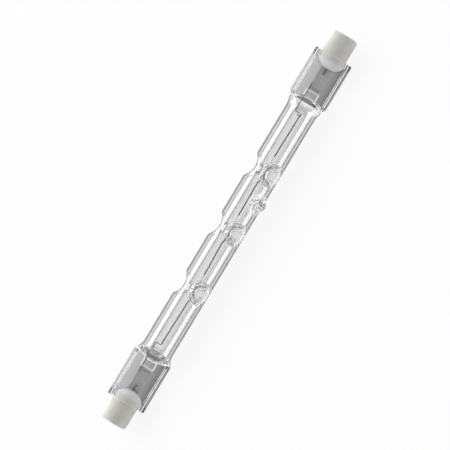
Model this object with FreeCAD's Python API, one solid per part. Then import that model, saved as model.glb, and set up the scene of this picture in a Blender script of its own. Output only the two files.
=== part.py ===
import FreeCAD, Part
import math
import os

# Double-ended linear halogen lamp: a clear quartz tube with a pinch seal at each end, a coiled
# filament held on the axis by three sets of dents, and a ceramic cap with a recessed contact at each end.
# Lamp frame: X along the lamp, origin at its middle, the flat of the pinch seals in XY, its front face +Z.
# The finished pieces are rolled about X and lifted to lie as the lamp lies on a table, its floor at Z = 0.
# All sizes are in millimetres and all angles in degrees.

# Whole lamp
overall_length = 117.6

# Quartz tube
tube_diameter = 8.6
tube_wall = 1.05

# Dents that hold the filament: sets along the tube, each of three dents around it
dent_pitch = 17.9
dent_shift = -0.35
dent_half_length = 3.7
dent_nose_radius = 0.4
dent_wall = 0.8
dent_turn = 28.0
dents_around = 3
dent_sets = 3

# Exhaust tip, where the lamp was pumped and sealed off
tip_shift = 0.8
tip_turn = 45.0
tip_rise = 2.1
tip_base_radius = 1.75
tip_neck_radius = 1.15
tip_bore_radius = 0.7

# Pinch seals: a thin web between two raised rails that run on past it as ears
pinch_width = 10.8
pinch_length = 14.2
web_thickness = 1.6
rail_thickness = 3.8
rail_crest = 0.65
rail_slope = 0.6
rail_corner = 0.35
rail_foot = 0.25
rail_lead_in = 1.1
ear_length = 1.5
ear_corner = 0.3
shoulder_left = 2.2
shoulder_right = 4.0
shoulder_toe = 2.6
shoulder_inset = 0.2

# Sealing foil in each web, and the unsealed pocket at its inner end
foil_width = 3.0
foil_thickness = 0.04
foil_feather = 0.5
foil_start = 3.7
foil_end_gap = 1.4
pocket_width = 3.5
pocket_depth = 3.0
pocket_height = 0.34

# Filament and its leads
coil_diameter = 0.46
coil_wire = 0.1
skip_wire = 0.09
coil_left_gap = 3.9
coil_right_gap = 3.2
skip_before_dent = 2.6
skip_after_dent = 4.7
coil_clearance = 0.05
inner_lead_diameter = 0.22
inner_lead_offset = 1.35
inner_lead_step = 0.5
inner_lead_weld = 1.6
spud_length = 1.2
outer_lead_diameter = 0.6
outer_lead_weld = 2.6
weld_flat = 0.03

# Ceramic caps
barrel_diameter = 7.0
barrel_length = 6.1
collar_step = 0.35
collar_length = 1.8
dome_length = 2.0
dome_face_diameter = 3.0
dome_bulge = 0.62
cap_edge = 0.35
collar_edge = 0.25
recess_diameter = 4.2
recess_depth = 1.7
recess_chamfer = 0.3
cap_hole_clearance = 0.15
ear_clearance = 0.1
cement_gap = 0.15
cement_bed = 0.3
cement_inset = 0.3

# Contacts, each let into the floor of its cap's recess
contact_diameter = 3.5
contact_thickness = 0.5
contact_clearance = 0.04
contact_edge = 0.12
contact_weld_depth = 0.25

# Sections along each shoulder
shoulder_steps = 5

# Places worked out from the sizes above, as distances from the lamp's middle
half_length = overall_length / 2
tube_radius = tube_diameter / 2
bore_radius = tube_radius - tube_wall
half_pinch = pinch_width / 2
half_web = web_thickness / 2
half_rail = rail_thickness / 2
rail_inner = half_pinch - rail_crest - rail_slope
barrel_start = half_length - barrel_length
pinch_end = barrel_start - ear_clearance
pinch_start = pinch_end - pinch_length
web_end = pinch_end - ear_length
collar_start = barrel_start - collar_length
nose = collar_start - dome_length
slot_end = web_end + cement_bed
contact_face = half_length - recess_depth
contact_seat = contact_face - contact_thickness
cavity_end = pinch_start + shoulder_toe / 2
skin_end = pinch_start + shoulder_toe
foil_inner = pinch_start + foil_start
foil_outer = web_end - foil_end_gap
foil_top = weld_flat - outer_lead_diameter / 2
coil_radius = coil_diameter / 2
coil_bore = coil_radius - coil_wire
dent_reach = coil_radius + coil_clearance
dent_centres = [dent_shift + dent_pitch * (i - (dent_sets - 1) / 2) for i in range(dent_sets)]
coil_left_end = coil_left_gap - pinch_start
coil_right_end = pinch_start - coil_right_gap
tip_position = (dent_centres[-2] + dent_centres[-1]) / 2 + tip_shift
collar_radius = barrel_diameter / 2 + collar_step

along_x = FreeCAD.Vector(1, 0, 0)
middle = FreeCAD.Vector(0, 0, 0)
sharp_bends = 1


def point(x, y=0.0, z=0.0):
    return FreeCAD.Vector(x, y, z)


def smooth(share):
    # Eases from 0 to 1 with no slope at either end
    held = min(1.0, max(0.0, share))
    return held * held * (3 - 2 * held)


def spread(start, end, steps):
    return [start + (end - start) * i / steps for i in range(steps + 1)]


def mirrored(shape):
    # The same piece at the lamp's left end
    return shape.mirror(middle, along_x)


def rod(start, end, radius, y=0.0, z=0.0):
    return Part.makeCylinder(radius, end - start, point(start, y, z), along_x)


def block(low, high):
    size = high.sub(low)
    return Part.makeBox(size.x, size.y, size.z, low)


def lines(*corners):
    # Straight edges from one (x, z) corner to the next
    ends = [point(x, 0, z) for x, z in corners]
    return [Part.makeLine(a, b) for a, b in zip(ends, ends[1:])]


def arc(*corners):
    # One arc through three (x, z) corners
    return [Part.Arc(*[point(x, 0, z) for x, z in corners]).toShape()]


def turned(edges, axis):
    # A solid of revolution from a closed half outline
    return Part.Face(Part.Wire(edges)).revolve(middle, axis, 360)


# Quartz envelope

def dents(wall):
    # The dents as blunt cones that point at the axis, this much quartz away from those that stop at the coil
    deep = tube_radius - dent_reach
    wide = dent_half_length - dent_nose_radius
    angle = math.atan2(wide, deep) + math.asin(dent_wall / math.hypot(wide, deep))
    nose = dent_reach + wall
    nose_radius = dent_nose_radius - wall * math.tan((math.pi / 2 - angle) / 2)
    rise = tube_diameter - nose
    brim_radius = nose_radius + rise * math.tan(angle)
    cone = Part.makeCone(nose_radius, brim_radius, rise, point(0, 0, nose), point(0, 0, 1))
    found = []
    for centre in dent_centres:
        for i in range(dents_around):
            dent = cone.copy()
            dent.rotate(middle, along_x, dent_turn + 360 / dents_around * i)
            dent.translate(point(centre))
            found.append(dent)
    return found


def shoulder_share(x, end):
    # How far the tube has turned into the pinch seal at x, ending at the distance end
    run = shoulder_right if x > 0 else shoulder_left
    start = pinch_start - run
    return smooth((abs(x) - start) / (end - start))


def skin_section(x, radius, half_width, half_height, end):
    # One ellipse, from the round tube to the flat seal
    wide = radius + (half_width - radius) * shoulder_share(x, pinch_start)
    high = radius + (half_height - radius) * shoulder_share(x, end)
    return Part.Wire(Part.Ellipse(point(x, wide), point(x, 0, high), point(x)).toShape())


def skin(radius, half_width, half_height, end):
    # One surface of the tube as solids that meet end to end: two shoulders and the plain run between them
    left = spread(-end, shoulder_left - pinch_start, shoulder_steps)
    right = spread(pinch_start - shoulder_right, end, shoulder_steps)
    shoulders = []
    for places in (left, right):
        sections = [skin_section(x, radius, half_width, half_height, end) for x in places]
        shoulders.append(Part.makeLoft(sections, True))
    return shoulders, rod(left[-1], right[0], radius)


def edges_along_x(shape, y, z):
    # The four long edges of a symmetrical bar that run at this distance from its two middle planes
    found = []
    for edge in shape.Edges:
        ends = [vertex.Point for vertex in edge.Vertexes]
        flat = len(ends) == 2 and abs(ends[0].x - ends[1].x) > 1
        if flat and all(abs(abs(p.y) - y) + abs(abs(p.z) - z) < 1e-6 for p in ends):
            found.append(edge)
    return found


def pinch_bar():
    # The right-hand pinch seal: rails and web, with the web cut back between the ears
    quarter = [
        (rail_inner, half_web),
        (rail_inner + rail_slope, half_rail),
        (half_pinch, half_rail),
    ]
    upper = [(-y, z) for y, z in reversed(quarter)] + quarter
    outline = upper + [(y, -z) for y, z in reversed(upper)]
    corners = [point(pinch_start, y, z) for y, z in outline + outline[:1]]
    bar = Part.Face(Part.makePolygon(corners)).extrude(point(pinch_length))
    bar = bar.makeFillet(rail_corner, edges_along_x(bar, half_pinch, half_rail))
    bar = bar.makeFillet(rail_foot, edges_along_x(bar, rail_inner, half_web))
    for side in (1, -1):
        lead_in = Part.makePolygon([
            point(pinch_start, -half_pinch, side * half_web),
            point(pinch_start + rail_lead_in, -half_pinch, side * half_rail),
            point(pinch_start, -half_pinch, side * half_rail),
            point(pinch_start, -half_pinch, side * half_web),
        ])
        bar = bar.cut(Part.Face(lead_in).extrude(point(0, pinch_width, 0)))
    notch = block(point(web_end, -rail_inner, -half_rail), point(pinch_end, rail_inner, half_rail))
    corners = [edge for edge in notch.Edges if all(v.X == web_end for v in edge.Vertexes)]
    upright = [edge for edge in corners if edge.BoundBox.ZLength > half_rail]
    return bar.cut(notch.makeFillet(ear_corner, upright))


def exhaust_tip(bore=False):
    # The sealed-off stub on the side of the tube, or the taper left inside it
    top = tube_radius + tip_rise
    root = tube_radius - tube_wall / 2
    if bore:
        shape = Part.makeCone(
            tip_bore_radius, tip_bore_radius / 8, top - bore_radius - tip_neck_radius / 2,
            point(0, 0, bore_radius - tube_wall / 2), point(0, 0, 1),
        )
    else:
        neck = tube_radius + tip_rise / 4
        crown = top - tip_neck_radius
        waist = tip_neck_radius + (tip_base_radius - tip_neck_radius) / 4
        turn = tip_neck_radius * math.sqrt(0.5)
        outline = lines((0, top), (0, root), (tip_base_radius, root))
        outline += arc((tip_base_radius, root), (waist, (root + neck) / 2), (tip_neck_radius, neck))
        outline += lines((tip_neck_radius, neck), (tip_neck_radius, crown))
        outline += arc((tip_neck_radius, crown), (turn, crown + turn), (0, top))
        shape = turned(outline, point(0, 0, 1))
    shape.rotate(middle, along_x, tip_turn)
    shape.translate(point(tip_position))
    return shape


def foil_pocket():
    # The gap in the right-hand seal where the quartz did not close round the inner lead
    low = point(cavity_end - tube_wall / 2, -pocket_width / 2, foil_top - foil_thickness)
    high = point(cavity_end + pocket_depth, pocket_width / 2, foil_top - foil_thickness + pocket_height)
    pocket = block(low, high)
    corners = [edge for edge in pocket.Edges if edge.BoundBox.ZLength > pocket_height / 2]
    outer = [edge for edge in corners if edge.BoundBox.XMin > cavity_end]
    return pocket.makeFillet(ear_corner, outer)


def envelope(fillings):
    # The finished quartz, with a close-fitting hollow for each of the metal pieces sealed into it
    shoulders, tube = skin(tube_radius, half_pinch - shoulder_inset, half_web / 2, skin_end)
    tube = tube.fuse(exhaust_tip()).cut(dents(dent_wall))
    bar = pinch_bar()
    solid = bar.fuse([mirrored(bar), tube] + shoulders)
    tapers, bore = skin(bore_radius, bore_radius + shoulder_inset, foil_thickness * 3, cavity_end)
    bore = bore.fuse(exhaust_tip(bore=True)).cut(dents(0))
    pocket = foil_pocket()
    return solid.cut([bore, pocket, mirrored(pocket)] + tapers + fillings)


# Metal pieces sealed into the right-hand end

def foil():
    # A thin strip with feathered long edges
    half = foil_width / 2
    inner = half - foil_feather
    centre = foil_top - foil_thickness / 2
    low = foil_top - foil_thickness
    outline = [
        (half, centre), (inner, foil_top), (-inner, foil_top),
        (-half, centre), (-inner, low), (inner, low),
    ]
    corners = [point(foil_inner, y, z) for y, z in outline + outline[:1]]
    return Part.Face(Part.makePolygon(corners)).extrude(point(foil_outer - foil_inner))


def above_foil(shape, start, end):
    # Flattens a lead where it is welded down on the foil
    reach = foil_width
    under = block(point(start, -reach, foil_top - reach), point(end, reach, foil_top))
    return shape.cut(under)


def outer_lead():
    # A stiff pin from the foil, through the cap, into the back of the contact
    end = contact_seat + contact_weld_depth
    start = foil_outer - outer_lead_weld
    pin = rod(start, end, outer_lead_diameter / 2)
    return above_foil(pin, start, foil_outer)


def inner_lead(coil_end):
    # A fine wire from the foil's corner that steps down to the axis and plugs into the coil
    radius = inner_lead_diameter / 2
    height = foil_top + radius - weld_flat / 2
    route = [
        point(foil_inner + inner_lead_weld, inner_lead_offset, height),
        point(coil_end + inner_lead_step, inner_lead_offset, height),
        point(coil_end + inner_lead_step),
        point(coil_end - spud_length),
    ]
    circle = Part.Wire(Part.makeCircle(radius, route[0], along_x))
    wire = Part.makePolygon(route).makePipeShell([circle], True, True, sharp_bends)
    return above_foil(wire, foil_inner, foil_inner + inner_lead_weld)


def filament():
    # Four close-wound lengths, drawn as the tube that their turns fill, joined by plain wire at the dents
    starts = [coil_left_end] + [centre + skip_after_dent for centre in dent_centres]
    ends = [centre - skip_before_dent for centre in dent_centres] + [coil_right_end]
    solids = []
    for start, end in zip(starts, ends):
        solids.append(rod(start, end, coil_radius).cut(rod(start, end, coil_bore)))
    for end, start in zip(ends, starts[1:]):
        solids.append(rod(end - coil_wire, start + coil_wire, skip_wire / 2, z=coil_radius - coil_wire / 2))
    return solids[0].fuse(solids[1:])


# Right-hand cap and what it holds

def dome(face):
    # The cap's rounded nose, from the edge of its flat face to the collar
    fall = (collar_radius - face) * (1 - dome_bulge)
    brow = (collar_start - dome_length * dome_bulge, collar_radius - fall)
    return arc((nose, face), brow, (collar_start, collar_radius))


def ceramic_cap():
    barrel = barrel_diameter / 2
    collar = collar_radius
    recess = recess_diameter / 2
    seat = contact_diameter / 2 + contact_clearance
    hole = outer_lead_diameter / 2 + cap_hole_clearance
    face = dome_face_diameter / 2
    outline = dome(face) + lines(
        (collar_start, collar), (barrel_start, collar), (barrel_start, barrel), (half_length, barrel),
        (half_length, recess), (contact_face, recess), (contact_face, seat), (contact_seat, seat),
        (contact_seat, hole), (nose, hole), (nose, face),
    )
    body = turned(outline, along_x)
    body = body.makeChamfer(cap_edge, rims(body, half_length, barrel))
    body = body.makeChamfer(collar_edge, rims(body, barrel_start, collar))
    body = body.makeChamfer(recess_chamfer, rims(body, half_length, recess))
    return body.cut(cap_slot())


def rims(shape, x, radius):
    # The circles of this radius at this place along the lamp
    found = []
    for edge in shape.Edges:
        curve = edge.Curve
        if isinstance(curve, Part.Circle) and abs(curve.Radius - radius) + abs(curve.Center.x - x) < 1e-6:
            found.append(edge)
    return found


def cap_slot():
    half = half_web + cement_gap
    return block(point(nose, -half_pinch, -half), point(slot_end, half_pinch, half))


def cement():
    # The bed that fills the cap's slot round the end of the web, a little below the dome and the collar
    face = dome_face_diameter / 2
    outline = dome(face) + lines(
        (collar_start, collar_radius), (slot_end, collar_radius), (slot_end, 0), (nose, 0), (nose, face),
    )
    filled = turned(outline, along_x)
    filled.translate(point(cement_inset))
    bed = cap_slot().common(filled).common(rod(nose, slot_end, collar_radius - cement_inset))
    web = block(point(nose, -half_pinch, -half_web), point(web_end, half_pinch, half_web))
    return bed.cut([web, rod(nose, half_length, outer_lead_diameter / 2)])


def contact():
    # A flat metal button with a blind hole in its back for the lead
    radius = contact_diameter / 2
    button = rod(contact_seat, contact_face, radius)
    button = button.makeChamfer(contact_edge, rims(button, contact_face, radius))
    return button.cut(rod(contact_seat, contact_seat + contact_weld_depth, outer_lead_diameter / 2))


# The whole lamp at rest

def rest_placement():
    # The lamp rolls on its tube until a rail of each pinch seal also meets the floor
    out = half_pinch - rail_corner
    up = half_rail - rail_corner
    lean = math.asin((tube_radius - rail_corner) / math.hypot(out, up)) - math.atan2(up, out)
    turn = FreeCAD.Rotation(along_x, math.degrees(lean))
    return FreeCAD.Placement(point(0, 0, tube_radius), turn)


def lamp_pieces():
    foil_right = foil()
    pin_right = outer_lead()
    lead_right = inner_lead(coil_right_end)
    lead_left = mirrored(inner_lead(-coil_left_end))
    sealed_in = [foil_right, pin_right, lead_right, mirrored(foil_right), mirrored(pin_right), lead_left]
    pieces = {
        "quartz_envelope": envelope(sealed_in),
        "filament": filament(),
        "inner_lead_right": lead_right,
        "inner_lead_left": lead_left,
    }
    for name, shape in (
        ("foil", foil_right),
        ("outer_lead", pin_right),
        ("ceramic_cap", ceramic_cap()),
        ("cement", cement()),
        ("contact", contact()),
    ):
        pieces[name + "_right"] = shape
        pieces[name + "_left"] = mirrored(shape)
    return pieces


def main():
    os.makedirs("parts", exist_ok=True)
    rest = rest_placement().toMatrix()
    for name, shape in lamp_pieces().items():
        placed = shape.transformed(rest, copy=True)
        placed.exportStep(os.path.join("parts", name + ".step"))
        print(name, len(placed.Solids), placed.isValid(), round(placed.Volume, 3))


main()
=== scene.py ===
import math

import bmesh
import bpy
from mathutils import Matrix, Vector, noise


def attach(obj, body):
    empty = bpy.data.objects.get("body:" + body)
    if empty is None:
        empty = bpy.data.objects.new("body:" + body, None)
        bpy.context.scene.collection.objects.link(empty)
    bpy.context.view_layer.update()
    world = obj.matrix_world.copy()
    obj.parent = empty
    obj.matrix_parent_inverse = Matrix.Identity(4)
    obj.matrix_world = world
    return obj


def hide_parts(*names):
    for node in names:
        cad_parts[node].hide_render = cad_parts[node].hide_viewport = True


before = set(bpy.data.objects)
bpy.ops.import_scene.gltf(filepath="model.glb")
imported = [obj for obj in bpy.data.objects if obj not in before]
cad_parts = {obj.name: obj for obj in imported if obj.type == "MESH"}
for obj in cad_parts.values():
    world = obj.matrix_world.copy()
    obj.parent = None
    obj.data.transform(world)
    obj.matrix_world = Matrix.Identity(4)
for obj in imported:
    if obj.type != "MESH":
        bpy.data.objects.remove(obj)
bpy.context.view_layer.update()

# All pieces are worked out in the lamp's own directions, in millimetres:
# x along the lamp, v across it towards the exhaust tip, n out of the front face of the flat seals.

lamp = {
    "tubeRadius": 4.3,
    "boreRadius": 3.25,
    "halfPinch": 5.4,
    "halfWeb": 0.8,
    "halfRail": 1.9,
    "railCorner": 0.35,
    "pinchStart": 38.4,
    "webEnd": 51.1,
}


def restLean():
    out = lamp["halfPinch"] - lamp["railCorner"]
    up = lamp["halfRail"] - lamp["railCorner"]
    return math.asin((lamp["tubeRadius"] - lamp["railCorner"]) / math.hypot(out, up)) - math.atan2(up, out)


lean = restLean()  # how far the lamp rolls before a rail meets the floor
across = Vector((0, -math.cos(lean), -math.sin(lean)))
front = Vector((0, -math.sin(lean), math.cos(lean)))
centre = Vector((0, 0, lamp["tubeRadius"] / 1000))


tiny = 1e-6  # slack for rounding, in millimetres


def place(x, v, n):
    return centre + (Vector((x, 0, 0)) + across * v + front * n) / 1000


def ease(share):
    held = min(1.0, max(0.0, share))
    return held * held * (3 - 2 * held)


def mixed(a, b, share):
    return a + (b - a) * share


def spread(start, end, step):
    count = max(1, math.ceil(abs(end - start) / step - tiny))
    return [mixed(start, end, i / count) for i in range(count + 1)]


def addShell(shape, points, faces, hollow=False):
    # one closed surface that faces outwards, or into the space it encloses if it is a hollow
    corners = [shape.verts.new(p) for p in points]
    made = [shape.faces.new([corners[i] for i in face]) for face in faces]
    bmesh.ops.recalc_face_normals(shape, faces=made)
    if hollow:
        bmesh.ops.reverse_faces(shape, faces=made)
    for face in made:
        face.smooth = True
        face.material_index = int(hollow)


def meshPiece(name, shells, materials, nodes):
    shape = bmesh.new()
    for shell in shells:
        addShell(shape, *shell)
    mesh = bpy.data.meshes.new(name)
    shape.to_mesh(mesh)
    shape.free()
    for material in materials:
        mesh.materials.append(material)
    piece = bpy.data.objects.new(name, mesh)
    bpy.context.scene.collection.objects.link(piece)
    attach(piece, "root")
    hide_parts(*nodes)


# Materials

def shaderFor(name, settings):
    material = bpy.data.materials.new(name)
    material.use_nodes = True
    shader = material.node_tree.nodes["Principled BSDF"]
    for socket, value in settings.items():
        shader.inputs[socket].default_value = value
    return material, shader


def addNode(owner, kind, **inputs):
    # a node in a material or in the world
    node = owner.node_tree.nodes.new(kind)
    for socket, value in inputs.items():
        node.inputs[socket.replace("_", " ")].default_value = value
    return node


def objectPlace(material):
    return material.node_tree.nodes.new("ShaderNodeTexCoord").outputs["Object"]


def noiseOver(material, scale, detail=3.0):
    texture = addNode(material, "ShaderNodeTexNoise", Scale=scale, Detail=detail)
    material.node_tree.links.new(objectPlace(material), texture.inputs["Vector"])
    return texture.outputs["Fac"]


def addGrain(material, shader, grain):
    height = noiseOver(material, grain["scale"], grain["detail"])
    bump = addNode(material, "ShaderNodeBump", Strength=grain["strength"], Distance=grain["depth"])
    material.node_tree.links.new(height, bump.inputs["Height"])
    material.node_tree.links.new(bump.outputs["Normal"], shader.inputs["Normal"])


def roughBetween(material, shader, share, low, high):
    remap = addNode(material, "ShaderNodeMapRange", To_Min=low, To_Max=high)
    material.node_tree.links.new(share, remap.inputs["Value"])
    material.node_tree.links.new(remap.outputs["Result"], shader.inputs["Roughness"])


quartzLook = {"Transmission Weight": 1.0, "IOR": 1.458, "Roughness": 0.0}
# painted shade: greys by how squarely a surface is looked at, for light on its way into the quartz and out
# of it; they stand in for the lamp's shadow seen through the tube and for the dark lines that its rims and
# inner wall show
outerPaintedShade = {
    "in": ((0.0, 0.745), (0.038, 0.63), (0.06, 0.55), (0.086, 0.43), (0.1, 0.27), (0.115, 0.76),
           (0.15, 0.84), (0.25, 0.84), (0.29, 0.28), (0.41, 0.23), (0.45, 0.56), (0.49, 0.52),
           (0.52, 0.11), (0.62, 0.04), (0.75, 0.03), (1.0, 0.02)),
    "out": ((0.0, 1.0), (1.0, 1.0)),
}
borePaintedShade = {
    "in": ((0.0, 1.0), (0.58, 1.0), (0.7, 0.2), (1.0, 0.08)),
    "out": ((0.0, 0.745), (0.032, 0.63), (0.051, 0.55), (0.0725, 0.43), (0.084, 0.27), (0.096, 0.9),
            (0.12, 1.0)),
}
# where the quartz gets painted shade on its seals, rails, ears and tip, and where the lumpy tip is flecked
# and milky, in metres
quartzPlaces = {
    "leftSeal": (-0.0377, -0.0385),
    "rightSeal": (0.0386, 0.0396),
    "sealShades": (0.3, 0.036),
    "sealSide": 0.0037,
    "flatFacing": (0.3, 0.5),
    "backFade": 0.0002,
    "cornerFacing": (0.3, 0.55),
    "sideFacing": (0.985, 0.9),
    "railShade": 0.4,
    "railOuter": (0.0048, 0.0050),
    "earFade": (0.0503, 0.0514),
    "earShade": 0.35,
    "tipReach": 0.0026,
    "fade": 0.0008,
    "tipMilk": 0.2,
    "tipPaintedShade": ((0.0, 1.0), (0.35, 0.95), (0.6, 0.5), (0.8, 0.25), (1.0, 0.12)),
    "speckScale": 1700,
    "specks": ((0.38, 0.25), (0.48, 1.0)),
}
# where lines of painted highlight run, left clear of the painted grey, in metres
highlightLinePlaces = {
    "edge": 0.03978,
    "edgeFlat": 0.0008,
    "edgeSlope": 0.32,
    "half": 0.00017,
    "soft": 0.0001,
    "pocketSide": 0.00175,
    "pocketEnd": 0.04195,
    "pocketShare": 0.45,
    "railSlope": (0.00415, 0.0043, 0.0047, 0.00485),
}


def greyRamp(owner, share, tones):
    ramp = owner.node_tree.nodes.new("ShaderNodeValToRGB")
    while len(ramp.color_ramp.elements) < len(tones):
        ramp.color_ramp.elements.new(1.0)
    for element, (position, grey) in zip(ramp.color_ramp.elements, tones):
        element.position = position
        element.color = (grey, grey, grey, 1)
    owner.node_tree.links.new(share, ramp.inputs["Fac"])
    return ramp.outputs["Color"]


def mathNode(owner, operation, first, second=None):
    node = owner.node_tree.nodes.new("ShaderNodeMath")
    node.operation = operation
    for socket, value in zip(node.inputs, (first, second)):
        if isinstance(value, (int, float)):
            socket.default_value = value
        elif value is not None:
            owner.node_tree.links.new(value, socket)
    return node.outputs[0]


def rangeShare(material, value, start, end):
    # 0 before the range and 1 after it
    remap = addNode(material, "ShaderNodeMapRange", From_Min=start, From_Max=end)
    material.node_tree.links.new(value, remap.inputs["Value"])
    return remap.outputs["Result"]


def xShare(material, vector):
    # how far a place or a direction is along the lamp, whichever end
    parts = material.node_tree.nodes.new("ShaderNodeSeparateXYZ")
    material.node_tree.links.new(vector, parts.inputs["Vector"])
    return mathNode(material, "ABSOLUTE", parts.outputs["X"])


def alongDirection(material, vector, direction):
    # how far a place or a direction goes one way
    dot = material.node_tree.nodes.new("ShaderNodeVectorMath")
    dot.operation = "DOT_PRODUCT"
    material.node_tree.links.new(vector, dot.inputs[0])
    dot.inputs[1].default_value = direction
    return dot.outputs["Value"]


def turnedTo(material, vector, direction):
    # how nearly a surface faces one way or the opposite one
    return mathNode(material, "ABSOLUTE", alongDirection(material, vector, direction))


def larger(owner, first, second):
    return mathNode(owner, "MAXIMUM", first, second)


def times(material, first, second):
    return mathNode(material, "MULTIPLY", first, second)


def less(material, share):
    return mathNode(material, "SUBTRACT", 1.0, share)


def blended(material, first, second, share):
    # from the first value to the second as the share goes to 1
    kept = times(material, first, less(material, share))
    return mathNode(material, "ADD", kept, times(material, second, share))


def shaded(material, grey, share, shade):
    # brings a grey down to a shade of itself as the share goes to 1
    return times(material, grey, blended(material, 1.0, shade, share))


def awayFrom(material, where, spot):
    node = material.node_tree.nodes.new("ShaderNodeVectorMath")
    node.operation = "DISTANCE"
    material.node_tree.links.new(where, node.inputs[0])
    node.inputs[1].default_value = spot
    return node.outputs["Value"]


def onTip(material, where):
    reach = quartzPlaces["tipReach"]
    away = awayFrom(material, where, place(envelope["tipPlace"], *tipMiddle()))
    return rangeShare(material, away, reach + quartzPlaces["fade"], reach)


def acrossLamp(material, where):
    # how far a place lies to either side of the middle of the seals
    side = alongDirection(material, where, across)
    return mathNode(material, "ABSOLUTE", mathNode(material, "SUBTRACT", side, centre.dot(across)))


def lineAt(material, value, level):
    # 1 on a fine line where the value reaches the level
    away = mathNode(material, "ABSOLUTE", mathNode(material, "SUBTRACT", value, level))
    return rangeShare(material, away, highlightLinePlaces["half"] + highlightLinePlaces["soft"], highlightLinePlaces["half"])


def paintedHighlightLines(material, where):
    # painted highlights, as lines left clear of the painted grey: a chevron at the foot of each shoulder,
    # the outline of the pocket and the slopes of the rails
    edge, half, soft = highlightLinePlaces["edge"], highlightLinePlaces["half"], highlightLinePlaces["soft"]
    pocketEnd, pocketSide = highlightLinePlaces["pocketEnd"], highlightLinePlaces["pocketSide"]
    along, side = xShare(material, where), acrossLamp(material, where)
    off = larger(material, mathNode(material, "SUBTRACT", side, highlightLinePlaces["edgeFlat"]), 0.0)
    swept = mathNode(material, "ADD", along, times(material, off, highlightLinePlaces["edgeSlope"]))
    chevron = lineAt(material, swept, edge)
    inside = rangeShare(material, side, pocketSide + half, pocketSide)
    endLine = times(material, lineAt(material, along, pocketEnd), inside)
    after = rangeShare(material, along, edge - soft, edge)
    before = rangeShare(material, along, pocketEnd + soft, pocketEnd)
    sideLines = times(material, lineAt(material, side, pocketSide), times(material, after, before))
    pocket = times(material, larger(material, endLine, sideLines), highlightLinePlaces["pocketShare"])
    inner, start, end, outer = highlightLinePlaces["railSlope"]
    slope = times(material, rangeShare(material, side, inner, start), rangeShare(material, side, outer, end))
    slope = times(material, slope, rangeShare(material, along, edge - half, edge))
    return larger(material, larger(material, chevron, slope), pocket)


def sealPaintedShade(material, tone, where, normal):
    # painted shade: grey on the back of the seals, darker towards the tip's side, which lies nearer the
    # floor, and dark along the rails and ears; it stands in for the shadow under the seals and for the dark
    # edges that the surroundings make in them
    along = xShare(material, where)
    right = alongDirection(material, where, (1, 0, 0))
    seal = larger(material, rangeShare(material, right, *quartzPlaces["leftSeal"]),
                  rangeShare(material, right, *quartzPlaces["rightSeal"]))
    flat = rangeShare(material, turnedTo(material, normal, front), *quartzPlaces["flatFacing"])
    level, fade = centre.dot(front), quartzPlaces["backFade"]
    back = rangeShare(material, alongDirection(material, where, front), level, level - fade)
    aside, half = centre.dot(across), quartzPlaces["sealSide"]
    side = rangeShare(material, alongDirection(material, where, across), aside - half, aside + half)
    shade = blended(material, *quartzPlaces["sealShades"], side)
    tone = shaded(material, tone, times(material, times(material, seal, flat), back), shade)
    turned = turnedTo(material, normal, across)
    corner = times(material, rangeShare(material, turned, *quartzPlaces["cornerFacing"]),
                   rangeShare(material, turned, *quartzPlaces["sideFacing"]))
    outermost = rangeShare(material, acrossLamp(material, where), *quartzPlaces["railOuter"])
    rail = times(material, seal, times(material, corner, outermost))
    tone = shaded(material, tone, rail, quartzPlaces["railShade"])
    ear = rangeShare(material, along, *quartzPlaces["earFade"])
    return shaded(material, tone, ear, quartzPlaces["earShade"])


def clearQuartz(name, tones, outside):
    # painted shade: greyer where it is looked at square on and at its very edge
    material, shader = shaderFor(name, quartzLook)
    links = material.node_tree.links
    facing = addNode(material, "ShaderNodeLayerWeight", Blend=0.5).outputs["Facing"]
    surface = material.node_tree.nodes.new("ShaderNodeNewGeometry").outputs
    normal = surface["Normal"]
    where = objectPlace(material)
    tip = onTip(material, where)
    inward, outward = greyRamp(material, facing, tones["in"]), greyRamp(material, facing, tones["out"])
    tone = blended(material, inward, outward, surface["Backfacing"])
    if outside:
        # painted shade on the seals, rails and ears, with lines left clear of it as painted highlights; on
        # the lumpy tip, where the quartz was drawn off, random dark flecks and painted shade where it is
        # seen edge on, and a little milk
        tone = sealPaintedShade(material, tone, where, normal)
        tone = blended(material, tone, 1.0, paintedHighlightLines(material, where))
        speck = greyRamp(material, noiseOver(material, quartzPlaces["speckScale"]), quartzPlaces["specks"])
        tipFlecksAndShade = times(material, speck, greyRamp(material, facing, quartzPlaces["tipPaintedShade"]))
        tone = blended(material, tone, tipFlecksAndShade, tip)
        milk = times(material, tip, quartzPlaces["tipMilk"])
        links.new(less(material, milk), shader.inputs["Transmission Weight"])
    else:
        tone = blended(material, tone, 1.0, tip)
    links.new(tone, shader.inputs["Base Color"])
    return material


ceramicLook = {"Roughness": 0.72, "Specular IOR Level": 0.3}
ceramicTones = {
    "barrel": ((0.80, 0.785, 0.73), (0.86, 0.85, 0.805)),
    # the dome's whiter tones are partly painted light
    "dome": ((0.91, 0.91, 0.91), (0.96, 0.96, 0.96)),
    "domeEnd": (0.0506, 0.0514),  # metres from the middle of the lamp
    "mottle": 420,
    "grain": {"scale": 3800, "detail": 5, "strength": 0.25, "depth": 0.00008},
}
mottleRange = (0.35, 0.65)  # the part of the noise in which the tones change


def tonesOver(material, share, low, high):
    ramp = material.node_tree.nodes.new("ShaderNodeValToRGB")
    for element, position, colour in zip(ramp.color_ramp.elements, mottleRange, (low, high)):
        element.position = position
        element.color = (*colour, 1)
    material.node_tree.links.new(share, ramp.inputs["Fac"])
    return ramp.outputs["Color"]


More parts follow.
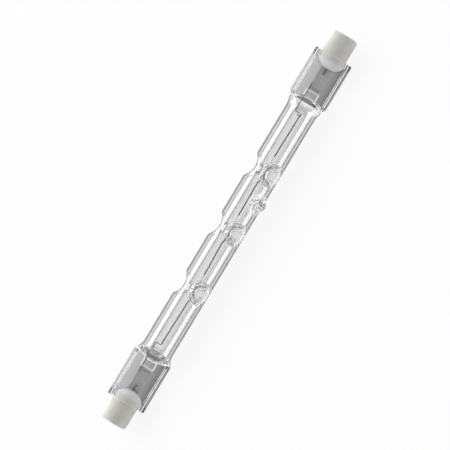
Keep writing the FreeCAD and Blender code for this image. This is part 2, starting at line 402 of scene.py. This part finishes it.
def pressedCeramic():
    # a cream barrel, with a whiter dome: its cooler white is its own, and part of its extra brightness is
    # painted light standing in for the light it catches
    material, shader = shaderFor("pressedCeramic", ceramicLook)
    links = material.node_tree.links
    mottle = noiseOver(material, ceramicTones["mottle"])
    mix = material.node_tree.nodes.new("ShaderNodeMixRGB")
    along = xShare(material, objectPlace(material))
    links.new(rangeShare(material, along, *ceramicTones["domeEnd"]), mix.inputs["Fac"])
    links.new(tonesOver(material, mottle, *ceramicTones["dome"]), mix.inputs["Color1"])
    links.new(tonesOver(material, mottle, *ceramicTones["barrel"]), mix.inputs["Color2"])
    links.new(mix.outputs["Color"], shader.inputs["Base Color"])
    addGrain(material, shader, ceramicTones["grain"])
    return material


cementTones = {
    "bed": ((0.62, 0.60, 0.55), (0.74, 0.72, 0.66)),
    "mottle": 900,
    "grain": {"scale": 2600, "detail": 6, "strength": 0.6, "depth": 0.0001},
}


def bedCement():
    material, shader = shaderFor("bedCement", {"Roughness": 0.9})
    tones = tonesOver(material, noiseOver(material, cementTones["mottle"]), *cementTones["bed"])
    material.node_tree.links.new(tones, shader.inputs["Base Color"])
    addGrain(material, shader, cementTones["grain"])
    return material


# darkest and lightest tone, least and most roughness, and how metallic
metals = {
    "tungstenWire": ((0.10, 0.10, 0.10), (0.16, 0.155, 0.15), (0.4, 0.55), 0.8),
    "molybdenumWire": ((0.10, 0.10, 0.10), (0.16, 0.155, 0.15), (0.35, 0.5), 0.8),
    "sealFoil": ((0.44, 0.45, 0.46), (0.52, 0.53, 0.54), (0.4, 0.55), 0.15),
    "nickelPlate": ((0.55, 0.54, 0.51), (0.64, 0.63, 0.60), (0.28, 0.4), 1.0),
}
metalNoise = {
    "mottle": 1500,
    "wear": 2400,
    "grain": {"scale": 5200, "detail": 4, "strength": 0.15, "depth": 0.00002},
}


def drawnMetal(name):
    low, high, roughness, metallic = metals[name]
    material, shader = shaderFor(name, {"Metallic": metallic})
    tones = tonesOver(material, noiseOver(material, metalNoise["mottle"]), low, high)
    material.node_tree.links.new(tones, shader.inputs["Base Color"])
    roughBetween(material, shader, noiseOver(material, metalNoise["wear"]), *roughness)
    addGrain(material, shader, metalNoise["grain"])
    return material


ceramic = pressedCeramic()
cementBed = bedCement()
tungsten = drawnMetal("tungstenWire")
molybdenum = drawnMetal("molybdenumWire")
sealFoil = drawnMetal("sealFoil")
nickel = drawnMetal("nickelPlate")
print("materials made")


# Quartz envelope

envelope = {
    "dentCentres": (-18.25, -0.35, 17.55),
    "dentHalfLength": 3.7,
    "dentHalfTurn": math.radians(55),
    "dentFall": 2.0,
    "dentTurn": math.radians(28),
    "dentDepth": 2.95,
    "dentLumps": ((0.2, 1.3, 4), (0.07, 3, 10)),  # height, and how close along and round the tube
    "dentLumpRise": 3,
    "tipPlace": 9.4,
    "tipTurn": math.radians(48),
    "tipSideTurn": math.radians(70),
    "tipBead": 1.72,
    "tipLevel": 0.25,
    "tipTurnOver": math.radians(102),
    "tipWaist": 0.62,
    "tipNeck": 0.03,
    "tipPatch": 2.9,
    "tipLumps": 0.24,
    "tipLumpScale": 1.3,
    "tipLumpSeed": 2.3,
    "tipLumpFall": 4,
    "tipBoreRise": 0.9,
    "tipBoreRadius": 1.1,
    "railInner": 4.15,
    "railSlope": 0.6,
    "railFoot": 0.25,
    "railBrow": 0.15,
    "outlineSteps": {"web": 16, "foot": 4, "slope": 4, "brow": 3, "top": 3, "edge": 5, "side": 4},
    "earSteps": ((0.4, 1.0), (0.8, 1.0), (1.15, 0.985), (1.35, 0.94), (1.45, 0.86), (1.5, 0.72)),
    "leftShoulder": {"run": 2.4, "flare": 0.1, "side": -1.5, "middle": -0.75, "drop": 2.1},
    "rightShoulder": {"run": 3.6, "flare": 0.42, "side": 0.1, "middle": 0.85, "drop": 0.9},
    "flarePower": 1.5,
    "dropStraight": 0.4,
    "shoulderEnd": 41.0,
    "shoulderWall": 0.95,
    "fineStep": 0.13,
    "coarseStep": 0.9,
    "boreSides": 96,
    "roundPower": 2,
    "cavityBow": 0.8,
    "cavityEnd": 39.7,
    "cavityWide": 3.45,
    "cavityThin": 0.12,
    "pocketMouth": (0, 0.12, 0.3),
    "pocketFloor": (0.12, 0.03),
    "pocketEnd": 43.0,
    "pocketWide": 1.7,
    "pocketThin": 0.17,
    "pocketLevel": -0.14,
    "pocketPower": 7,
    "pocketClose": 0.55,
    "endGap": 0.05,
}


def tipMiddle():
    # where the exhaust tip's middle lies across the lamp
    reach = lamp["tubeRadius"] + envelope["tipLevel"]
    return reach * math.sin(envelope["tipTurn"]), reach * math.cos(envelope["tipTurn"])


quartz = clearQuartz("clearQuartz", outerPaintedShade, True)
boreQuartz = clearQuartz("boreQuartz", borePaintedShade, False)


def dentShare(x, turn):
    # 1 at the bottom of a dent and 0 on the plain tube
    along = min(abs(x - middle) for middle in envelope["dentCentres"]) / envelope["dentHalfLength"]
    third = 2 * math.pi / 3
    around = (turn - envelope["dentTurn"] + third / 2) % third - third / 2
    away = along ** 2 + (around / envelope["dentHalfTurn"]) ** 2
    return max(0.0, 1 - away) ** envelope["dentFall"]


def roundedCorner(before, corner, after, radius, steps):
    # points of a fillet at one corner of a flat outline
    back = (before - corner).normalized()
    on = (after - corner).normalized()
    halfTurn = (math.pi - back.angle(on)) / 2
    reach = radius * math.tan(halfTurn)
    start = corner + back * reach
    hub = corner + (back + on).normalized() * (radius / math.cos(halfTurn))
    turn = (corner + on * reach - hub).angle_signed(start - hub)
    points = []
    for i in range(steps + 1):
        arm = (start - hub).copy()
        arm.rotate(Matrix.Rotation(turn * i / steps, 2))
        points.append(hub + arm)
    return points


def straightRun(start, end, steps):
    return [start.lerp(end, i / steps) for i in range(1, steps)]


def pinchQuarter():
    # a quarter of the flat seal's outline, from the middle of the web to the middle of the rail's side
    web = Vector((0, lamp["halfWeb"]))
    foot = Vector((envelope["railInner"], lamp["halfWeb"]))
    brow = Vector((envelope["railInner"] + envelope["railSlope"], lamp["halfRail"]))
    edge = Vector((lamp["halfPinch"], lamp["halfRail"]))
    side = Vector((lamp["halfPinch"], 0))
    steps = envelope["outlineSteps"]
    footArc = roundedCorner(web, foot, brow, envelope["railFoot"], steps["foot"])
    browArc = roundedCorner(foot, brow, edge, envelope["railBrow"], steps["brow"])
    edgeArc = roundedCorner(brow, edge, side, lamp["railCorner"], steps["edge"])
    points = [web] + straightRun(web, footArc[0], steps["web"]) + footArc
    points += straightRun(footArc[-1], browArc[0], steps["slope"]) + browArc
    points += straightRun(browArc[-1], edgeArc[0], steps["top"]) + edgeArc
    points += straightRun(edgeArc[-1], side, steps["side"])
    return points


def pinchOutline():
    # the whole outline of a flat seal, clockwise from the front of the web
    first = pinchQuarter()
    side = [Vector((lamp["halfPinch"], 0))]
    right = first + side + [Vector((p.x, -p.y)) for p in reversed(first[1:])]
    left = [Vector((-p.x, p.y)) for p in reversed(right)]
    back = [Vector((0, -lamp["halfWeb"]))]
    return right + back + left[:-1]


outline = pinchOutline()
outlineTurns = [2 * math.pi * i / len(outline) for i in range(len(outline))]


def shoulderShare(x, bow, back=0.0):
    # how far the round tube has become the flat seal: first a slow flare, then a steep drop to the web
    shoulder = envelope["rightShoulder"] if x > 0 else envelope["leftShoulder"]
    reach = abs(x) - lamp["pinchStart"] + back
    edge = mixed(shoulder["side"], shoulder["middle"], bow)
    flare = max(0.0, (reach + shoulder["run"]) / (edge + shoulder["run"])) ** envelope["flarePower"]
    drop = min(1.0, max(0.0, (reach - edge) / shoulder["drop"]))
    return mixed(shoulder["flare"] * ease(flare), 1.0, mixed(ease(drop), drop, envelope["dropStraight"]))


def webBow(seat):
    # 1 in the middle of the web and 0 on the rails
    return max(0.0, 1 - (seat.x / envelope["railInner"]) ** 2)


def tipOffset(x, turn):
    # how far a point of the tube lies from the exhaust tip's axis, along the lamp and round it
    offTurn = (turn - envelope["tipTurn"] + math.pi) % (2 * math.pi) - math.pi
    if abs(offTurn) > envelope["tipSideTurn"]:
        return None
    return Vector((x - envelope["tipPlace"], lamp["tubeRadius"] * math.sin(offTurn)))


def tipProfile(share):
    # radius and height of the bead, from its top at 0, over its waist, to the plain tube at 1
    waist, turnOver = envelope["tipWaist"], envelope["tipTurnOver"]
    bead, level = envelope["tipBead"], envelope["tipLevel"]
    if share < waist:
        turn = turnOver * share / waist
        return bead * math.sin(turn), level + bead * math.cos(turn)
    start = Vector((bead * math.sin(turnOver), level + bead * math.cos(turnOver)))
    bend = Vector((start.x - envelope["tipNeck"], 0))
    end = Vector((envelope["tipPatch"], 0))
    along = (share - waist) / (1 - waist)
    spot = start.lerp(bend, along).lerp(bend.lerp(end, along), along)
    return spot.x, spot.y


def tipPoint(x, turn):
    # where a point of the tube goes on the exhaust tip, or None off it
    offset = tipOffset(x, turn)
    if offset is None or offset.length >= envelope["tipPatch"]:
        return None
    share = offset.length / envelope["tipPatch"]
    radius, height = tipProfile(share)
    scale, seed = envelope["tipLumpScale"], envelope["tipLumpSeed"]
    lump = noise.noise(Vector((offset.x * scale, offset.y * scale, seed))) * envelope["tipLumps"]
    lump *= 1 - share ** envelope["tipLumpFall"]
    spot = offset * (radius / max(offset.length, tiny)) * (1 + lump)
    rise = math.sqrt(lamp["tubeRadius"] ** 2 - spot.y ** 2) + height * (1 + lump)
    sine, cosine = math.sin(envelope["tipTurn"]), math.cos(envelope["tipTurn"])
    return envelope["tipPlace"] + spot.x, rise * sine + spot.y * cosine, rise * cosine - spot.y * sine


def dentLump(x, turn):
    # large and small lumps that the press left in the dents
    lump = 0.0
    for height, along, around in envelope["dentLumps"]:
        spot = Vector((x * along, around * math.sin(turn), around * math.cos(turn)))
        lump += noise.noise(spot) * height
    return lump


def outerPoint(x, i):
    turn = outlineTurns[i]
    tipSpot = tipPoint(x, turn)
    if tipSpot:
        return tipSpot
    pressed = dentShare(x, turn)
    lump = dentLump(x, turn) * ease(envelope["dentLumpRise"] * pressed)
    radius = lamp["tubeRadius"] - envelope["dentDepth"] * pressed + lump
    share = shoulderShare(x, webBow(outline[i]))
    v = mixed(radius * math.sin(turn), outline[i].x, share)
    n = mixed(radius * math.cos(turn), outline[i].y, share)
    return x, v, n


def tubeStations():
    # close together over shoulders, dents and tip
    fine, coarse = envelope["fineStep"], envelope["coarseStep"]
    last = -envelope["shoulderEnd"]
    spans = [(-lamp["webEnd"], last, coarse)]
    marks = [(last, envelope["leftShoulder"]["run"] - lamp["pinchStart"])]
    for middle in envelope["dentCentres"]:
        marks.append((middle - envelope["dentHalfLength"], middle + envelope["dentHalfLength"]))
    marks.append((envelope["tipPlace"] - envelope["tipPatch"], envelope["tipPlace"] + envelope["tipPatch"]))
    marks.append((lamp["pinchStart"] - envelope["rightShoulder"]["run"], envelope["shoulderEnd"]))
    marks.sort()
    for start, end in marks:
        if start > last + tiny:
            spans.append((last, start, coarse))
        spans.append((start, end, fine))
        last = end
    spans.append((last, lamp["webEnd"], coarse))
    places = []
    for start, end, step in spans:
        places += spread(start, end, step)[:-1]
    return places + [lamp["webEnd"]]


def tubeFaces(rings, count):
    faces = []
    for r in range(rings - 1):
        for i in range(count):
            a = r * count + i
            b = r * count + (i + 1) % count
            faces.append((a, a + count, b + count, b))
    return faces


def webHalf():
    # how far the web reaches to either side before a rail's foot begins
    return envelope["railInner"] + tiny - envelope["railFoot"]


def earRing(side):
    # indices of the outline round one rail, from its front foot to its back foot
    return [i for i, p in enumerate(outline) if p.x * side >= webHalf()]


def addEar(points, faces, end, side, ring):
    # one rail run on past the web, closed on its inner side and rounded at its end
    hub = Vector((side * (envelope["railInner"] + lamp["halfPinch"]) / 2, 0))
    chain = earRing(side)
    count = len(chain)
    last = [ring + i for i in chain]
    for forward, shrink in envelope["earSteps"]:
        begin = len(points)
        for i in chain:
            p = hub + (outline[i] - hub) * shrink
            points.append(place(math.copysign(lamp["webEnd"] + forward, end), p.x, p.y))
        now = list(range(begin, begin + count))
        for k in range(count):
            a, b = k, (k + 1) % count
            faces.append((last[a], now[a], now[b], last[b]))
        last = now
    faces.append(tuple(last))


def addWebEnd(faces, ring):
    # the flat end of the web between the two ears
    count = len(outline)
    half = count // 2
    top = [i for i in range(-half // 2, half // 2 + 1) if abs(outline[i % count].x) <= webHalf()]
    top = [i for i in top if outline[i % count].y > 0]
    top = [earRing(-1)[-1] - count] + top + [earRing(1)[0]]
    for a, b in zip(top, top[1:]):
        backA, backB = (half - a) % count, (half - b) % count
        faces.append((ring + a % count, ring + backA, ring + backB, ring + b % count))


def boreSize(x):
    # half width, half thickness and level of the hollow, and how square its section is
    level = envelope["pocketLevel"]
    if abs(x) > envelope["cavityEnd"]:
        return envelope["pocketWide"], envelope["pocketThin"], level, envelope["pocketPower"]
    share = shoulderShare(x, envelope["cavityBow"], envelope["shoulderWall"])
    wide = mixed(lamp["boreRadius"], envelope["cavityWide"], share)
    thin = mixed(lamp["boreRadius"], envelope["cavityThin"], share)
    return wide, thin, level * share, envelope["roundPower"]


def borePoint(x, turn):
    wide, thin, level, power = boreSize(x)
    pressed = 1 - envelope["dentDepth"] * dentShare(x, turn) / lamp["boreRadius"]
    offset = tipOffset(x, turn)
    stub = 0.0
    if offset is not None and offset.length < envelope["tipBoreRadius"]:
        inside = 1 - (offset.length / envelope["tipBoreRadius"]) ** 2
        stub = envelope["tipBoreRise"] * inside ** 2 / lamp["boreRadius"]
    sine, cosine = math.sin(turn), math.cos(turn)
    square = (abs(sine) ** power + abs(cosine) ** power) ** (-1 / power)
    return wide * sine * square * (pressed + stub), level + thin * cosine * square * (pressed + stub)


def boreStations():
    end, seal = envelope["cavityEnd"], envelope["pocketEnd"]
    places = [x for x in tubeStations() if abs(x) < end - envelope["endGap"]]
    tail = [end + step for step in envelope["pocketMouth"]] + [mixed(end, seal, 0.5)]
    tail += [seal - step for step in envelope["pocketFloor"]]
    return [-x for x in reversed(tail)] + places + tail


def boreSkin():
    # the sealed hollow, from pocket to pocket
    around, level = envelope["boreSides"], envelope["pocketLevel"]
    points = []
    stations = boreStations()
    for x in stations:
        shrink = envelope["pocketClose"] if abs(x) > envelope["pocketEnd"] - envelope["endGap"] else 1.0
        for i in range(around):
            v, n = borePoint(x, 2 * math.pi * i / around)
            points.append(place(x, v, level + (n - level) * shrink))
    faces = tubeFaces(len(stations), around)
    faces.append(tuple(range(around)))
    faces.append(tuple(range(len(points) - around, len(points))))
    return points, faces, True


def quartzEnvelope():
    points, faces = [], []
    stations = tubeStations()
    for x in stations:
        for i in range(len(outline)):
            points.append(place(*outerPoint(x, i)))
    faces += tubeFaces(len(stations), len(outline))
    for end, ring in ((-1, 0), (1, (len(stations) - 1) * len(outline))):
        addEar(points, faces, end, 1, ring)
        addEar(points, faces, end, -1, ring)
        addWebEnd(faces, ring)
    shells = [(points, faces), boreSkin()]
    meshPiece("quartzEnvelope", shells, [quartz, boreQuartz], ["quartz_envelope"])
    print("quartz envelope", sum(len(shell[1]) for shell in shells), "faces")


quartzEnvelope()


# Filament

coil = {
    "radius": 0.18,
    "wire": 0.05,
    "pitch": 0.15,
    "turnSteps": 10,
    "sides": 6,
    "leftEnd": -34.5,
    "rightEnd": 35.2,
    "skipBefore": 2.6,
    "skipAfter": 4.7,
    "endWiden": 1.5,
    "endLength": 0.7,
    "sway": ((-34.5, 0.15), (-21, 0.36), (-13, 0.34), (-3, 0.06),
             (4, 0.02), (15, -0.11), (22.5, 0.16), (35.2, 0.3)),
}


def coilSway(x):
    # the coil hangs a little slack between its holders
    marks = coil["sway"]
    for (startX, startV), (endX, endV) in zip(marks, marks[1:]):
        if x <= endX:
            return mixed(startV, endV, ease((x - startX) / (endX - startX)))
    return marks[-1][1]


def coilPath():
    starts = [coil["leftEnd"]] + [middle + coil["skipAfter"] for middle in envelope["dentCentres"]]
    ends = [middle - coil["skipBefore"] for middle in envelope["dentCentres"]] + [coil["rightEnd"]]
    path = []
    for start, end in zip(starts, ends):
        turns = round((end - start) / coil["pitch"])
        steps = turns * coil["turnSteps"]
        for i in range(steps + 1):
            x = mixed(start, end, i / steps)
            turn = 2 * math.pi * i / coil["turnSteps"]
            fromEnd = min(x - coil["leftEnd"], coil["rightEnd"] - x)
            radius = coil["radius"] * mixed(coil["endWiden"], 1.0, ease(fromEnd / coil["endLength"]))
            path.append((x, coilSway(x) + radius * math.sin(turn), radius * math.cos(turn)))
    return path


def sweptWire(path, radius, sides):
    # a round wire along a path, with its ends closed
    line = [place(*p) for p in path]
    points, faces = [], []
    normal = Vector((0, 0, 1))
    for i, spot in enumerate(line):
        ahead = (line[min(i + 1, len(line) - 1)] - line[max(i - 1, 0)]).normalized()
        normal = (normal - ahead * normal.dot(ahead)).normalized()
        side = ahead.cross(normal)
        for k in range(sides):
            turn = 2 * math.pi * k / sides
            points.append(spot + (normal * math.cos(turn) + side * math.sin(turn)) * radius / 1000)
    faces += tubeFaces(len(line), sides)
    faces.append(tuple(range(sides)))
    faces.append(tuple(range(len(points) - sides, len(points))))
    return points, faces


def coiledFilament():
    wire = sweptWire(coilPath(), coil["wire"], coil["sides"])
    meshPiece("coiledFilament", [wire], [tungsten], ["filament"])
    print("filament", len(wire[1]), "faces")


coiledFilament()


# Inner leads

leads = {
    "radius": 0.13,
    "sides": 10,
    "level": -0.18,
    "offset": -1.35,
    "bend": 0.16,
    "bendSteps": 5,
    "step": 0.5,
    "foilEnd": 43.7,
    "left": [(-35.0, 0.15), (-33.3, 0.15)],
    "right": [(35.65, 0.5), (34.9, 0.5), (34.9, -0.5)],
}


def leadPath(end, corners):
    # from the foil along the side of the bore, then a sharp step in to the coil
    onFoil = Vector((math.copysign(leads["foilEnd"], end), leads["offset"]))
    beforeStep = Vector((corners[0][0], leads["offset"]))
    route = [onFoil, beforeStep] + [Vector(corner) for corner in corners]
    flat = [route[0]]
    for before, corner, after in zip(route, route[1:], route[2:]):
        flat += roundedCorner(before, corner, after, leads["bend"], leads["bendSteps"])
    flat.append(route[-1])
    path = []
    for start, stop in zip(flat, flat[1:]):
        steps = max(1, round((stop - start).length / leads["step"]))
        path += [start.lerp(stop, i / steps) for i in range(steps)]
    path.append(flat[-1])
    return [(p.x, p.y, leads["level"] * ease(abs(p.y / leads["offset"]))) for p in path]


def innerLeads():
    for side, end in (("left", -1), ("right", 1)):
        wire = sweptWire(leadPath(end, leads[side]), leads["radius"], leads["sides"])
        meshPiece(side + "InnerLead", [wire], [molybdenum], ["inner_lead_" + side])
    print("inner leads made")


innerLeads()


# Pieces that keep their construction solid

nodeLooks = {
    "foil": sealFoil,
    "outer_lead": molybdenum,
    "cement": cementBed,
    "ceramic_cap": ceramic,
    "contact": nickel,
}


def finishNodes():
    for name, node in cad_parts.items():
        look = nodeLooks.get(name.rsplit("_", 1)[0])
        if look is None:
            continue
        node.data.materials.clear()
        node.data.materials.append(look)
        print("finished", name)


finishNodes()


# Floor, light and camera

stage = {
    "floorSize": 12.0,
    "floorColour": (0.92, 0.92, 0.92, 1),
    "floorSeen": (0.11, 0.11, 0.11, 1),
    "floorLift": 0.89,
    "roomTone": ((0.0, 1.0), (0.2, 0.95), (0.38, 0.2), (1.0, 0.04)),
    "roomLevel": 1.0,
    "nearWall": 0.3,
}


def seenRays(owner):
    # 1 for what is seen directly, mirrored or through the quartz, and 0 for light that falls on things
    rays = addNode(owner, "ShaderNodeLightPath").outputs
    seen = larger(owner, rays["Is Camera Ray"], rays["Is Glossy Ray"])
    return larger(owner, seen, rays["Is Transmission Ray"])


def paleFloor():
    half = stage["floorSize"] / 2
    mesh = bpy.data.meshes.new("paleFloor")
    corners = [(-half, -half, 0), (half, -half, 0), (half, half, 0), (-half, half, 0)]
    mesh.from_pydata(corners, [], [(0, 1, 2, 3)])
    floor = bpy.data.objects.new("paleFloor", mesh)
    bpy.context.scene.collection.objects.link(floor)
    # pale for the light it throws back, and seen as white that still takes the lamp's shadow
    material, shader = shaderFor("paleFloor", {"Emission Color": (1, 1, 1, 1), "Roughness": 0.9})
    links = material.node_tree.links
    seen = seenRays(material)
    tone = addNode(material, "ShaderNodeMixRGB", Color1=stage["floorColour"], Color2=stage["floorSeen"])
    links.new(seen, tone.inputs["Fac"])
    links.new(tone.outputs["Color"], shader.inputs["Base Color"])
    links.new(times(material, seen, stage["floorLift"]), shader.inputs["Emission Strength"])
    mesh.materials.append(material)


def roomLight():
    # bright walls, dimmer on the near side, and a dark ceiling
    world = bpy.data.worlds.new("room")
    world.use_nodes = True
    nodes, links = world.node_tree.nodes, world.node_tree.links
    parts = addNode(world, "ShaderNodeSeparateXYZ")
    links.new(addNode(world, "ShaderNodeTexCoord").outputs["Generated"], parts.inputs["Vector"])
    walls = nodes["Background"]
    links.new(greyRamp(world, parts.outputs["Z"], stage["roomTone"]), walls.inputs["Color"])
    side = addNode(world, "ShaderNodeMapRange", From_Min=-1, From_Max=0,
                   To_Min=stage["roomLevel"] * stage["nearWall"], To_Max=stage["roomLevel"])
    links.new(parts.outputs["Y"], side.inputs["Value"])
    links.new(side.outputs["Result"], walls.inputs["Strength"])
    backdrop = addNode(world, "ShaderNodeBackground", Color=(1, 1, 1, 1))
    either = addNode(world, "ShaderNodeMixShader")
    links.new(seenRays(world), either.inputs["Fac"])
    links.new(walls.outputs["Background"], either.inputs[1])
    links.new(backdrop.outputs["Background"], either.inputs[2])
    links.new(either.outputs["Shader"], nodes["World Output"].inputs["Surface"])
    bpy.context.scene.world = world


def turnedAt(spot, right, up, back):
    # an object's place and the directions of its own axes
    return Matrix.Translation(spot) @ Matrix((right, up, back)).transposed().to_4x4()


softboxes = {
    "mainSoftbox": {"rise": 40, "turn": 0, "away": 2.0, "long": 3.2, "wide": 1.5, "glow": 2.6},
    "nearSoftbox": {"rise": 6, "turn": 180, "away": 2.0, "long": 3.2, "wide": 0.4, "glow": 3.0},
    "leftSoftbox": {"rise": 16, "turn": -90, "away": 2.0, "long": 1.6, "wide": 0.8, "glow": 1.2},
    "rightSoftbox": {"rise": 16, "turn": 90, "away": 2.0, "long": 1.6, "wide": 0.8, "glow": 1.2},
}


def addSoftbox(name, box):
    light = bpy.data.lights.new(name, "AREA")
    light.shape = "RECTANGLE"
    light.size = box["long"]
    light.size_y = box["wide"]
    light.energy = box["glow"] * math.pi * box["long"] * box["wide"]
    lightObject = bpy.data.objects.new(name, light)
    rise, turn = math.radians(box["rise"]), math.radians(box["turn"])
    along = Vector((math.cos(turn), -math.sin(turn), 0))
    back = Vector((math.sin(turn) * math.cos(rise), math.cos(turn) * math.cos(rise), math.sin(rise)))
    lightObject.matrix_world = turnedAt(centre + back * box["away"], along, back.cross(along), back)
    bpy.context.scene.collection.objects.link(lightObject)


view = {
    "imageWidth": 450,
    "mmPerPixel": 0.2605,
    "axisTurn": math.radians(58.923),
    "lampCentre": (229.76, 229.75),
    "away": 0.9,
    "clipStart": 0.01,
    "sensor": 36.0,
}


def addCamera():
    along = Vector((1, 0, 0))
    right = along * math.cos(view["axisTurn"]) + across * math.sin(view["axisTurn"])
    up = along * math.sin(view["axisTurn"]) - across * math.cos(view["axisTurn"])
    middle = view["imageWidth"] / 2
    mm = view["mmPerPixel"] / 1000
    aim = centre + right * (middle - view["lampCentre"][0]) * mm - up * (middle - view["lampCentre"][1]) * mm
    data = bpy.data.cameras.new("photoCamera")
    data.sensor_width = view["sensor"]
    data.lens = view["sensor"] * view["away"] / (view["imageWidth"] * mm)
    data.clip_start = view["clipStart"]
    camera = bpy.data.objects.new("photoCamera", data)
    camera.matrix_world = turnedAt(aim + front * view["away"], right, up, front)
    bpy.context.scene.collection.objects.link(camera)
    bpy.context.scene.camera = camera


paleFloor()
roomLight()
for name, box in softboxes.items():
    addSoftbox(name, box)
addCamera()
bpy.context.scene.view_settings.view_transform = "Standard"
cycles = bpy.context.scene.cycles
cycles.caustics_refractive = True
cycles.caustics_reflective = False
cycles.max_bounces = 32
cycles.transmission_bounces = 32
cycles.glossy_bounces = 24  # light that is turned back inside the quartz counts as glossy
print("stage set")
